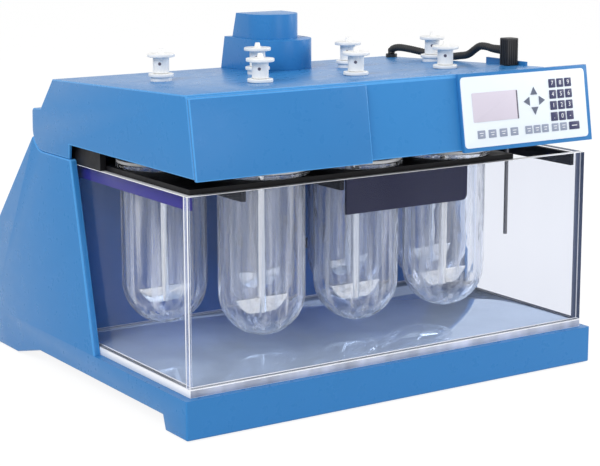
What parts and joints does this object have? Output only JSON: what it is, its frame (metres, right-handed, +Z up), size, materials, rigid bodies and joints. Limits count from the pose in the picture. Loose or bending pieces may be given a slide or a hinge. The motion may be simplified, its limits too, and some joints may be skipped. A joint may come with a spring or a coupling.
{
  "type": "dissolution tester",
  "caption": "Bench dissolution tester: a tilting drive head with stirrers over glass vessels that hang in a clear heated water bath.",
  "frame": {"origin": "middle of the footprint on the bench", "axes": "+X to the right along the width, +Y from the front to the rear, +Z up"},
  "size_m": [0.62, 0.58, 0.4662],
  "materials": {
    "blue_shell": "satin",
    "blue_front": "satin",
    "rubber": "matte",
    "grey_panel": "satin",
    "black_plastic": "matte",
    "cable": "matte",
    "black_metal": "black anodised",
    "alloy": "satin",
    "acrylic": "clear",
    "navy": "satin",
    "bracket_metal": "satin",
    "steel": "brushed",
    "vessel_glass": "clear",
    "white_plastic": "satin",
    "belt": "matte",
    "overlay": "satin",
    "display": "gloss",
    "keys": "satin"
  },
  "bodies": {
    "base": {"base_plinth": "blue_shell", "rubber_feet": "rubber", "side_cheeks": "blue_shell", "column_housing": "blue_shell", "rear_panel": "grey_panel", "mains_inlet": "black_plastic", "circulation_heater": "alloy", "tank_floor": "acrylic", "tank_front_wall": "acrylic", "tank_rear_wall": "acrylic", "tank_side_walls": "acrylic", "vessel_plate": "black_plastic", "plate_rails": "navy", "front_apron": "navy", "head_rests": "black_plastic", "hinge_brackets": "bracket_metal", "front_vessels": "vessel_glass", "rear_left_vessels": "vessel_glass", "rear_right_vessels": "vessel_glass"},
    "head": {"head_hood": "blue_shell", "head_chassis": "black_metal", "front_cover": "blue_front", "console_housing": "blue_front", "keypad_overlay": "overlay", "display_window": "display", "keypad_keys": "keys", "motor_cover": "blue_shell", "drive_motor": "bracket_metal", "drive_belts": "belt", "spindle_bearings": "steel", "cap_bushes": "white_plastic", "vessel_covers": "white_plastic", "hinge_pins": "steel", "temperature_probe": "steel", "probe_handle": "black_plastic", "cable_gland": "black_plastic", "probe_cable": "cable"},
    "motor_rotor": {"motor_pulley": "alloy"},
    "rocker": {"power_rocker": "black_plastic"},
    "spindle_1": {"spindle_1": "alloy"},
    "stirrer_1": {"stirrer_1": "steel", "shaft_cap_1": "white_plastic"},
    "spindle_2": {"spindle_2": "alloy"},
    "stirrer_2": {"stirrer_2": "steel", "shaft_cap_2": "white_plastic"},
    "spindle_3": {"spindle_3": "alloy"},
    "stirrer_3": {"stirrer_3": "steel", "shaft_cap_3": "white_plastic"},
    "spindle_4": {"spindle_4": "alloy"},
    "stirrer_4": {"stirrer_4": "steel", "shaft_cap_4": "white_plastic"},
    "spindle_5": {"spindle_5": "alloy"},
    "stirrer_5": {"stirrer_5": "steel", "shaft_cap_5": "white_plastic"},
    "spindle_6": {"spindle_6": "alloy"},
    "stirrer_6": {"stirrer_6": "steel", "shaft_cap_6": "white_plastic"},
    "spindle_7": {"spindle_7": "alloy"},
    "stirrer_7": {"stirrer_7": "steel", "shaft_cap_7": "white_plastic"}
  },
  "joints": [
    {"name": "head_tilt", "type": "hinge", "parent": "base", "child": "head", "pos_m": [0, 0.112, 0.322], "axis": [-1, 0, 0], "range_deg": [0, 35]},
    {"name": "motor_spin", "type": "hinge", "parent": "head", "child": "motor_rotor", "pos_m": [-0.02, 0.026, 0.36], "axis": [0, 0, 1], "continuous": true},
    {"name": "rocker_tip", "type": "hinge", "parent": "base", "child": "rocker", "pos_m": [0.228, 0.277, 0.09807], "axis": [1, 0, 0], "range_deg": [-8, 8]},
    {"name": "spindle_spin_1", "type": "hinge", "parent": "head", "child": "spindle_1", "pos_m": [-0.2285, -0.064, 0.34], "axis": [0, 0, 1], "continuous": true},
    {"name": "stirrer_lift_1", "type": "slide", "parent": "spindle_1", "child": "stirrer_1", "axis": [0, 0, 1], "range_m": [0, 0.1345]},
    {"name": "spindle_spin_2", "type": "hinge", "parent": "head", "child": "spindle_2", "pos_m": [-0.0895, -0.064, 0.34], "axis": [0, 0, 1], "continuous": true},
    {"name": "stirrer_lift_2", "type": "slide", "parent": "spindle_2", "child": "stirrer_2", "axis": [0, 0, 1], "range_m": [0, 0.1345]},
    {"name": "spindle_spin_3", "type": "hinge", "parent": "head", "child": "spindle_3", "pos_m": [0.0495, -0.064, 0.34], "axis": [0, 0, 1], "continuous": true},
    {"name": "stirrer_lift_3", "type": "slide", "parent": "spindle_3", "child": "stirrer_3", "axis": [0, 0, 1], "range_m": [0, 0.1345]},
    {"name": "spindle_spin_4", "type": "hinge", "parent": "head", "child": "spindle_4", "pos_m": [0.1885, -0.064, 0.34], "axis": [0, 0, 1], "continuous": true},
    {"name": "stirrer_lift_4", "type": "slide", "parent": "spindle_4", "child": "stirrer_4", "axis": [0, 0, 1], "range_m": [0, 0.1345]},
    {"name": "spindle_spin_5", "type": "hinge", "parent": "head", "child": "spindle_5", "pos_m": [-0.159, -0.182, 0.34], "axis": [0, 0, 1], "continuous": true},
    {"name": "stirrer_lift_5", "type": "slide", "parent": "spindle_5", "child": "stirrer_5", "axis": [0, 0, 1], "range_m": [0, 0.1345]},
    {"name": "spindle_spin_6", "type": "hinge", "parent": "head", "child": "spindle_6", "pos_m": [-0.02, -0.182, 0.34], "axis": [0, 0, 1], "continuous": true},
    {"name": "stirrer_lift_6", "type": "slide", "parent": "spindle_6", "child": "stirrer_6", "axis": [0, 0, 1], "range_m": [0, 0.1345]},
    {"name": "spindle_spin_7", "type": "hinge", "parent": "head", "child": "spindle_7", "pos_m": [0.119, -0.182, 0.34], "axis": [0, 0, 1], "continuous": true},
    {"name": "stirrer_lift_7", "type": "slide", "parent": "spindle_7", "child": "stirrer_7", "axis": [0, 0, 1], "range_m": [0, 0.1345]}
  ],
  "couplings": [
    {"joint": "spindle_spin_1", "follows": "motor_spin", "ratio": 0.6},
    {"joint": "stirrer_lift_1", "follows": "head_tilt", "m_per_rad": 0.22},
    {"joint": "spindle_spin_2", "follows": "motor_spin", "ratio": 0.6},
    {"joint": "stirrer_lift_2", "follows": "head_tilt", "m_per_rad": 0.22},
    {"joint": "spindle_spin_3", "follows": "motor_spin", "ratio": 0.6},
    {"joint": "stirrer_lift_3", "follows": "head_tilt", "m_per_rad": 0.22},
    {"joint": "spindle_spin_4", "follows": "motor_spin", "ratio": 0.6},
    {"joint": "stirrer_lift_4", "follows": "head_tilt", "m_per_rad": 0.22},
    {"joint": "spindle_spin_5", "follows": "motor_spin", "ratio": 0.6},
    {"joint": "stirrer_lift_5", "follows": "head_tilt", "m_per_rad": 0.22},
    {"joint": "spindle_spin_6", "follows": "motor_spin", "ratio": 0.6},
    {"joint": "stirrer_lift_6", "follows": "head_tilt", "m_per_rad": 0.22},
    {"joint": "spindle_spin_7", "follows": "motor_spin", "ratio": 0.6},
    {"joint": "stirrer_lift_7", "follows": "head_tilt", "m_per_rad": 0.22}
  ]
}
